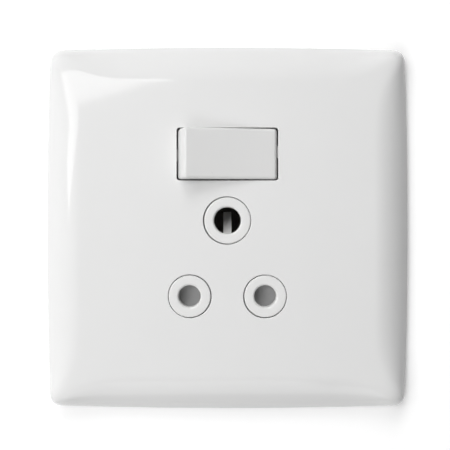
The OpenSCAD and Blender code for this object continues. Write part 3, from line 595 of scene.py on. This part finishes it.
def rocker_skin(half, inset, rounding):
    """Cup of the rocker: its outline carried along the pivot, with long edges rounded off.

    Round an edge by an angle a, the outline is drawn in by rounding (1 - sin a).
    """
    r = settings().rocker
    if rounding:
        turn = np.radians(np.linspace(0, 90, 10))
        climb = half - rounding + rounding * np.cos(turn)
        sink = rounding * (1 - np.sin(turn))
    else:
        climb, sink = np.array([half]), np.array([0.0])
    middle = np.linspace(climb[-1], -climb[-1], 14)[1:-1]
    up = np.concatenate([climb, middle, -climb[::-1]])
    sink = inset + np.concatenate([sink, 0 * middle, sink[::-1]])
    outline = rocker_outline(sink)
    rows = leaned(outline[..., 0], up[:, None], outline[..., 1])
    feet = [leaned(outline[k, :, 0], up[k], -r.skirt) for k in (0, -1)]
    return np.concatenate([feet[0][None], rows, feet[1][None]])


def outer_loop(grid):
    """Closed loop round the edge of a grid of points."""
    return np.concatenate([grid[0, :-1], grid[:-1, -1], grid[-1, :0:-1], grid[:0:-1, 0]])


def box_loop(half, count):
    """Points round a square, with the same number on each side."""
    share = np.linspace(-1, 1, count + 1)
    return loop_of(half * share, half * share)


def coil(radius, wire, length_along, turns, steps=20, sides=10):
    """Wire wound about an axis: rows of (across, along the axis, across) places.

    The wire's centre climbs evenly by its angle a, and each row is a small circle b in the plane
    of the axis: reach = radius + wire cos b, along = climb + wire sin b.
    """
    a = np.linspace(0, 2 * math.pi * turns, turns * steps + 1)[:, None]
    b = np.linspace(0, 2 * math.pi, sides, endpoint=False)[None, :]
    reach = radius + wire * np.cos(b)
    climb = wire + (length_along - 2 * wire) * a / a[-1]
    return reach * np.cos(a), climb + wire * np.sin(b), reach * np.sin(a)


# Finishes

class Wire:
    """Socket of a shader value: Python maths on it adds the Math nodes."""

    def __init__(self, finish, socket):
        self.finish = finish
        self.socket = socket

    def maths(self, operation, *values):
        """One Math node on these values."""
        return self.finish.node("ShaderNodeMath", {"operation": operation},
                                dict(enumerate(values)))

    def __add__(self, other):
        return self.maths("ADD", self, other)

    __radd__ = __add__

    def __sub__(self, other):
        return self.maths("SUBTRACT", self, other)

    def __rsub__(self, other):
        return self.maths("SUBTRACT", other, self)

    def __mul__(self, other):
        return self.maths("MULTIPLY", self, other)

    __rmul__ = __mul__


class Finish:
    """Node tree of one material or world."""

    def __init__(self, owner):
        self.owner = owner
        owner.use_nodes = True
        self.tree = owner.node_tree
        self.tree.nodes.clear()

    def node(self, kind, choices=None, sockets=None, output=0):
        """Adds a node with its settings and its sockets' values or links, and gives its output."""
        made = self.tree.nodes.new(kind)
        for name, value in (choices or {}).items():
            setattr(made, name, value)
        for name, value in (sockets or {}).items():
            if isinstance(value, Wire):
                self.tree.links.new(value.socket, made.inputs[name])
            else:
                made.inputs[name].default_value = value
        if made.outputs:
            return Wire(self, made.outputs[output])

    def place(self):
        """Object coordinates."""
        return self.node("ShaderNodeTexCoord", output=3)

    def noise(self, scale, detail=2, stretch=(1, 1, 1)):
        """Soft noise from 0 to 1, with features of about 1 / scale metres."""
        moved = self.node("ShaderNodeMapping", {}, {"Vector": self.place(), "Scale": stretch})
        return self.node("ShaderNodeTexNoise", {}, {"Vector": moved, "Scale": scale,
                                                   "Detail": detail})

    def mix(self, share, first, second):
        """Mix of two colours: the first at share 0 and the second at 1."""
        return self.node("ShaderNodeMix", {"data_type": "RGBA"},
                         {0: share, 6: (*first, 1), 7: (*second, 1)}, 2)

    def bump(self, height, strength, distance):
        """Normal from a height."""
        return self.node("ShaderNodeBump", {}, {"Height": height, "Strength": strength,
                                                "Distance": distance})

    def surface(self, sockets):
        """Principled surface as the material's output."""
        shader = self.node("ShaderNodeBsdfPrincipled", {}, sockets)
        self.node("ShaderNodeOutputMaterial", {}, {"Surface": shader})
        return self.owner


def shade(tone, factor):
    """Colour made darker or lighter."""
    return tuple(min(1.0, v * factor) for v in tone)


def moulded(name, tone, roughness, peel=0.02, gloss=0.5):
    """Moulded plastic: faint flow clouds in its tone and gloss, and a very fine orange peel."""
    f = Finish(bpy.data.materials.new(name))
    clouds = f.noise(60, 3)
    fine = f.noise(900, 2)
    grain = f.noise(5200, 1)
    tint = f.mix(clouds, shade(tone, 0.985), shade(tone, 1.012))
    rough = roughness * (0.9 + 0.3 * clouds + 0.15 * fine)
    normal = f.bump(fine * 0.75 + grain * 0.25, peel, 0.00005)
    return f.surface({"Base Color": tint, "Roughness": rough, "Normal": normal,
                      "IOR": 1.47, "Specular IOR Level": gloss})


def painted_ramp_plastic(name, tone, painted_light_tone):
    """Grey plastic of the shutter, smoother up its ramp. Painted light: a paler grey up the ramp
    lifts its shade deep in the earth entry.
    """
    f = Finish(bpy.data.materials.new(name))
    split = f.node("ShaderNodeSeparateXYZ", {}, {0: f.place()}, 2)
    # Painted light: share of the paler grey, from 0 at 6 mm below the centre to 1 at 3 mm below it,
    # lifting the ramp's shade
    high = f.node("ShaderNodeMapRange", {}, {0: split, 1: -6 * MM, 2: -3 * MM})
    clouds = f.noise(500, 3)
    tint = f.mix(high, tone, painted_light_tone)
    rough = 0.5 - 0.12 * high + 0.08 * clouds
    return f.surface({"Base Color": tint, "Roughness": rough,
                      "Normal": f.bump(clouds, 0.05, 0.00005)})


def sheet_metal(name, tone, roughness, spangle):
    """Zinc-coated steel: crystal cells of slightly different tone, with fine scratches."""
    f = Finish(bpy.data.materials.new(name))
    cells = f.node("ShaderNodeTexVoronoi", {}, {"Vector": f.place(), "Scale": 260}, 1)
    value = f.node("ShaderNodeSeparateColor", {}, {"Color": cells})
    scratches = f.noise(900, 4, (1, 1, 0.08))
    tint = f.mix(value * spangle + scratches * 0.3, shade(tone, 0.78), shade(tone, 1.1))
    rough = roughness + 0.18 * scratches + 0.12 * value
    return f.surface({"Base Color": tint, "Metallic": 1.0, "Roughness": rough,
                      "Normal": f.bump(scratches, 0.12, 0.00004)})


def turned_metal(name, tone, roughness, tarnish=0.25):
    """Plated or bare metal: soft tarnish clouds and fine drawn lines."""
    f = Finish(bpy.data.materials.new(name))
    clouds = f.noise(240, 4)
    lines = f.noise(1600, 2, (1, 0.06, 1))
    tint = f.mix(clouds * tarnish + lines * 0.2, shade(tone, 1.06), shade(tone, 0.66))
    rough = roughness + 0.16 * clouds + 0.1 * lines
    return f.surface({"Base Color": tint, "Metallic": 1.0, "Roughness": rough,
                      "Normal": f.bump(lines, 0.1, 0.00003)})


def seen_directly(f):
    """1 on the rays that show a thing to the camera, also by reflection or through glass."""
    camera, glossy, through = (f.node("ShaderNodeLightPath", output=name) for name in (
        "Is Camera Ray", "Is Glossy Ray", "Is Transmission Ray"))
    return camera.maths("MAXIMUM", camera.maths("MAXIMUM", camera, glossy), through)


def spring_steel():
    """Steel of the springs and the grip rings."""
    return turned_metal("spring_steel", (0.55, 0.56, 0.58), 0.25, 0.4)


def wall_paint(name, tone, glow, near=95 * MM, white_from=170 * MM):
    """Paint of the wall.

    From the front it is matt with a glow, so that it shows as plain white and keeps the shadow.
    From near to white_from, counted from the middle, it turns into plain white. It is clear from
    behind.
    """
    f = Finish(bpy.data.materials.new(name))
    matt = f.node("ShaderNodeBsdfDiffuse", {}, {"Color": (tone, tone, tone, 1)})
    light = f.node("ShaderNodeEmission", {}, {"Color": (1, 1, 1, 1), "Strength": glow})
    both = f.node("ShaderNodeAddShader", {}, {0: matt, 1: light})
    white = f.node("ShaderNodeEmission", {}, {"Color": (1, 1, 1, 1), "Strength": 1.0})
    away = f.node("ShaderNodeVectorMath", {"operation": "LENGTH"}, {0: f.place()}, 1)
    far = f.node("ShaderNodeMapRange", {}, {0: away, 1: near, 2: white_from})
    shown = f.node("ShaderNodeMixShader", {}, {0: far, 1: both, 2: white})
    front = f.node("ShaderNodeMixShader", {}, {0: seen_directly(f), 1: matt, 2: shown})
    clear = f.node("ShaderNodeBsdfTransparent")
    behind = f.node("ShaderNodeNewGeometry", output=6)
    shader = f.node("ShaderNodeMixShader", {}, {0: behind, 1: front, 2: clear})
    f.node("ShaderNodeOutputMaterial", {}, {"Surface": shader})
    return f.owner


def studio_world(scene):
    """World that shows as plain white and lights the object only a little."""
    world = bpy.data.worlds.new("studio")
    scene.world = world
    f = Finish(world)
    dim = f.node("ShaderNodeBackground", {}, {"Color": (1, 1, 1, 1), "Strength": 0.05})
    white = f.node("ShaderNodeBackground", {}, {"Color": (1, 1, 1, 1), "Strength": 1.0})
    shader = f.node("ShaderNodeMixShader", {}, {0: seen_directly(f), 1: dim, 2: white})
    f.node("ShaderNodeOutputWorld", {}, {"Surface": shader})


def finish_nodes(names, material):
    """Gives CAD nodes a material."""
    for name in names:
        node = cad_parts[name]
        node.data.materials.clear()
        node.data.materials.append(material)


# Operators

class MakeCover(bpy.types.Operator):
    """Make the moulded cover with its window, holes and clip lugs"""

    bl_idname = "wall_socket.make_cover"
    bl_label = "Make Cover"

    def execute(self, context):
        c = settings().cover
        outer_rows, inner_rows = 38, 8
        guide_drop, guide_lift = -0.4 * MM, 0.8 * MM
        finish = moulded("cover_plastic", tuple(settings().finish.cover), 0.06, 0.012, 0.3)
        work = Patchwork()
        outer = Pillow(0.0)
        inner = Pillow(c.wall)
        outer_foot, outer_rims = skin(work, outer, edge_levels(outer, outer_rows), c.lip, False)
        inner_foot, inner_rims = skin(work, inner, edge_levels(inner, inner_rows), 0.0, True)
        work.sheet([inner_foot, outer_foot], closed=True)
        for above, below in zip(outer_rims, inner_rims):
            work.sheet([above, below], closed=True)
        cover = work.build("cover", "base", finish)
        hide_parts("cover_plate")
        lugs = Patchwork()
        for side in (-1, 1):
            for up in (-LUG_UP, LUG_UP):
                clip_lug(lugs, side * LUG_X, up, side)
        lug = lugs.build("cover_clip_lugs", "base", finish)
        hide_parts("cover_plate")
        guides = Patchwork()
        window_guide(guides, -1, settings().face.window_z + guide_drop)
        window_guide(guides, 1, settings().face.window_z + guide_lift)
        guides.build("window_guides", "base", finish)
        return {"FINISHED"}


class MakeCollars(bpy.types.Operator):
    """Make the smooth collars round the pin entries"""

    bl_idname = "wall_socket.make_collars"
    bl_label = "Make Collars"

    def execute(self, context):
        f = settings().face
        finish = moulded("collar_plastic", tuple(settings().finish.collar), 0.2, 0.02)
        pillow = Pillow(0.0)
        cover_fit = 0.02 * MM
        throat = 1.5 * MM
        plans = [("earth_collar", 0, f.earth_z, f.earth_collar, f.earth_entry),
                 ("neutral_collar", -f.pin_x, f.pin_z, f.collar, f.entry),
                 ("line_collar", f.pin_x, f.pin_z, f.collar, f.entry)]
        for name, x, up, radius, entry in plans:
            face = float(pillow.field(np.array(x), np.array(up))) - f.sunk + cover_fit
            radius += cover_fit
            entry -= cover_fit
            rim = f.collar_rim
            lip = f.entry_lip
            profile = np.concatenate([
                [[radius, f.ceiling]],
                arc(radius - rim, face - rim, rim, 0, 90, 8),
                arc(entry + lip, face - lip, lip, 90, 180, 12),
                [[entry, f.ceiling + throat], [entry, f.ceiling]]])
            work = Patchwork()
            work.sheet(revolve(np.concatenate([profile, profile[:1]]), x, up), closed=True)
            work.build(name, "base", finish)
        return {"FINISHED"}


class MakeRocker(bpy.types.Operator):
    """Make the rocker with its dished face, stem and trunnions"""

    bl_idname = "wall_socket.make_rocker"
    bl_label = "Make Rocker"

    def execute(self, context):
        r = settings().rocker
        bevel, bore_top = 0.3 * MM, 3 * MM
        pin_bevel, pin_root = 0.2 * MM, 1.0 * MM
        finish = moulded("rocker_plastic", tuple(settings().finish.rocker), 0.26, 0.03)
        work = Patchwork()
        half = r.rise / 2
        outer = rocker_skin(half, 0.0, r.edge)
        inner = rocker_skin(half - r.wall, r.wall, 0.0)
        work.sheet(outer)
        work.sheet(inner, flip=True)
        nearest = np.round(np.linspace(0, len(inner) - 1, len(outer))).astype(int)
        work.sheet([outer_loop(outer), outer_loop(inner[nearest])], closed=True)
        count = 12
        turn = np.linspace(0, 2 * math.pi, 4 * count, endpoint=False) - 0.75 * math.pi
        square = box_loop(r.stem, count)
        ring = np.stack([np.cos(turn), np.sin(turn)], -1) * r.bore
        top = r.wing - r.dish - r.wall + bevel
        stem = [leaned(place[:, 0], place[:, 1], out) for place, out in (
            (square, top), (square, -r.stem_reach + bevel),
            (box_loop(r.stem - bevel, count), -r.stem_reach), (ring, -r.stem_reach),
            (ring, bore_top))]
        work.sheet(stem, closed=True)
        work.cap(stem[0])
        work.cap(stem[-1])
        turn = np.linspace(0, 2 * math.pi, 48, endpoint=False)
        for side in (-1, 1):
            end = half + r.trunnion_reach
            steps = ((half - pin_root, r.trunnion), (end - pin_bevel, r.trunnion),
                     (end, r.trunnion - pin_bevel))
            pin = [leaned(size * np.cos(turn), side * up, size * np.sin(turn))
                   for up, size in steps]
            work.sheet(pin, closed=True)
            work.cap(pin[0])
            work.cap(pin[-1])
        rocker = work.build("rocker_cap", "rocker", finish)
        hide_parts("rocker")
        return {"FINISHED"}


class MakeSprings(bpy.types.Operator):
    """Make the coil springs of the shutter and the plunger"""

    bl_idname = "wall_socket.make_springs"
    bl_label = "Make Springs"

    def execute(self, context):
        size, r = settings().spring, settings().rocker
        finish = spring_steel()
        low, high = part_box("shutter_spring")
        tall = high.z - low.z
        middle = (low + high) / 2
        right, up, out = coil(size.shutter_r, size.shutter_wire, tall, size.coils)
        rows = stand_up(middle.x + right, low.z + up, out - middle.y)
        piece = self.wind("shutter_coil", rows, "base", finish, "shutter_spring")
        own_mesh(piece)
        tall = size.plunger_head - size.plunger_foot
        right, out, up = coil(size.plunger_r, size.plunger_wire, tall, size.coils)
        rows = leaned(right, up, size.plunger_foot + out)
        piece = self.wind("plunger_coil", rows, "rocker", finish, "plunger_spring")
        head, foot = leaned(0, 0, size.plunger_head), leaned(0, 0, size.plunger_foot)
        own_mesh(piece)
        return {"FINISHED"}

    def wind(self, name, rows, body, finish, node):
        """One spring as a closed tube in a node's place."""
        work = Patchwork()
        work.sheet(rows, closed=True)
        work.cap(rows[0])
        work.cap(rows[-1])
        piece = work.build(name, body, finish)
        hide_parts(node)
        return piece


class FinishInside(bpy.types.Operator):
    """Give every other piece its finish"""

    bl_idname = "wall_socket.finish_inside"
    bl_label = "Finish Inner Pieces"

    def execute(self, context):
        tones = settings().finish
        white = moulded("housing_plastic", tuple(tones.collar), 0.28, 0.03)
        finish_nodes(["front_housing"], white)
        dark = moulded("rear_plastic", tuple(tones.rear), 0.42, 0.05)
        finish_nodes(["rear_housing"], dark)
        nylon = moulded("plunger_nylon", (0.72, 0.69, 0.6), 0.4)
        finish_nodes(["rocker_plunger"], nylon)
        # The shutter's ramp gets painted light: a paler grey that lifts its shade
        grey = painted_ramp_plastic("shutter_plastic", tuple(tones.shutter), tuple(tones.ramp))
        finish_nodes(["shutter"], grey)
        zinc = sheet_metal("galvanised_steel", (0.62, 0.64, 0.66), 0.32, 0.7)
        finish_nodes(["mounting_frame"], zinc)
        plated = turned_metal("plated_steel", (0.72, 0.71, 0.68), 0.22)
        finish_nodes(["housing_screws", "terminal_screws", "frame_rivets", "strap_rivet"],
                     plated)
        finish_nodes(["line_grip_ring", "neutral_grip_ring", "earth_grip_ring"],
                     spring_steel())
        dull = turned_metal("dull_brass", (0.20, 0.19, 0.17), 0.5, 0.5)
        finish_nodes(["line_sleeve", "neutral_sleeve", "earth_sleeve"], dull)
        brass = turned_metal("contact_brass", (0.78, 0.57, 0.24), 0.26, 0.5)
        finish_nodes(["contact_lever", "line_strip", "live_strip", "neutral_strip", "earth_strap",
                      "live_terminal", "neutral_terminal", "earth_terminal"], brass)
        silver = turned_metal("contact_silver", (0.86, 0.85, 0.82), 0.2, 0.15)
        finish_nodes(["moving_contact_tip", "fixed_contact_tip"], silver)
        return {"FINISHED"}


def lamp(name, direction, distance, width, height, power, turn=0.0, gloss=True):
    """Rectangular lamp in a direction (right, out, up), facing the socket."""
    data = bpy.data.lights.new(name, "AREA")
    data.shape = "RECTANGLE"
    data.size = width
    data.size_y = height
    data.energy = power
    made = bpy.data.objects.new(name, data)
    bpy.context.scene.collection.objects.link(made)
    x, out, up = direction
    away = Vector((x, -out, up)).normalized()
    made.location = away * distance
    made.rotation_mode = "QUATERNION"
    made.rotation_quaternion = (away.to_track_quat("Z", "Y")
                                @ Quaternion((0, 0, 1), math.radians(turn)))
    made.visible_glossy = gloss
    return made


# Name, direction, distance, width, height, power, turn in degrees, seen in reflections or not
LAMPS = (
    ("key_lamp", (-0.50, 0.70, 0.50), 1.3, 0.85, 0.85, 6.3, 0, False),
    ("left_fill", (-0.50, 0.71, -0.50), 1.3, 0.8, 0.8, 5.3, 0, False),
    ("low_fill", (-0.10, 0.60, -0.80), 1.3, 0.8, 0.8, 3.6, 0, True),
    ("high_fill", (-0.10, 0.50, 0.85), 1.3, 0.6, 0.6, 6.5, 0, False),
    ("sheen_lamp", (-0.60, 1.00, 0.284), 1.3, 1.16, 0.17, 3.6, 22, True),
    ("back_left", (-0.6, -0.8, 0.5), 1.4, 0.9, 0.9, 14, 0, True),
    ("back_right", (0.8, -0.7, 0.1), 1.4, 0.7, 0.9, 7, 0, True),
)


class MakeStage(bpy.types.Operator):
    """Set the camera, the wall, the lamps and the world"""

    bl_idname = "wall_socket.make_stage"
    bl_label = "Make Stage"

    def execute(self, context):
        s = settings().stage
        side_points, well_inside = 81, 0.8
        scene = context.scene
        scene.view_settings.view_transform = "Standard"
        camera_data = bpy.data.cameras.new("camera")
        camera_data.sensor_width = 36
        camera_data.lens = 36 * s.eye / s.view
        camera_data.clip_start = 0.01
        camera = bpy.data.objects.new("camera", camera_data)
        scene.collection.objects.link(camera)
        camera.location = (s.eye_x, -(settings().cover.depth + s.eye), s.eye_z)
        camera.rotation_euler = (math.pi / 2, 0, 0)
        scene.camera = camera
        reach = s.wall / 2
        mesh = bpy.data.meshes.new("wall")
        sides = np.linspace(-1, 1, side_points)
        outer = loop_of(sides, sides)
        inner = Pillow(0.0).level(outer * well_inside * settings().cover.half, s.tuck)
        rows = np.stack([outer * reach, inner])
        mesh.from_pydata(stand_up(rows[..., 0], rows[..., 1], 0.0).reshape(-1, 3), [],
                         strip_quads(2, len(outer), True).tolist())
        wall = bpy.data.objects.new("wall", mesh)
        scene.collection.objects.link(wall)
        mesh.materials.append(wall_paint("wall_paint", 0.95, 0.18))
        for plan in LAMPS:
            lamp(*plan)
        studio_world(scene)
        return {"FINISHED"}


class SocketPanel(bpy.types.Panel):
    """Lists the steps that build the socket's looks"""

    bl_idname = "VIEW3D_PT_wall_socket"
    bl_label = "Wall Socket"
    bl_space_type = "VIEW_3D"
    bl_region_type = "UI"
    bl_category = "Wall Socket"

    def draw(self, context):
        for step in STEPS:
            self.layout.operator(step.bl_idname)


STEPS = (MakeCover, MakeCollars, MakeRocker, MakeSprings, FinishInside, MakeStage)
GROUPS = (CoverSizes, FaceSizes, RockerSizes, SpringSizes, Finishes, StageSizes, SocketSettings)


def register():
    """Registers the classes and the scene's settings."""
    for made in GROUPS + STEPS + (SocketPanel,):
        bpy.utils.register_class(made)
    bpy.types.Scene.wall_socket = PointerProperty(type=SocketSettings)


def unregister():
    """Removes the scene's settings and the classes."""
    del bpy.types.Scene.wall_socket
    for made in reversed(GROUPS + STEPS + (SocketPanel,)):
        bpy.utils.unregister_class(made)


def main():
    """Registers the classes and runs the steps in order."""
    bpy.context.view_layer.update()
    register()
    bpy.ops.wall_socket.make_cover()
    bpy.ops.wall_socket.make_collars()
    bpy.ops.wall_socket.make_rocker()
    bpy.ops.wall_socket.make_springs()
    bpy.ops.wall_socket.finish_inside()
    bpy.ops.wall_socket.make_stage()


if __name__ == "__main__":
    main()
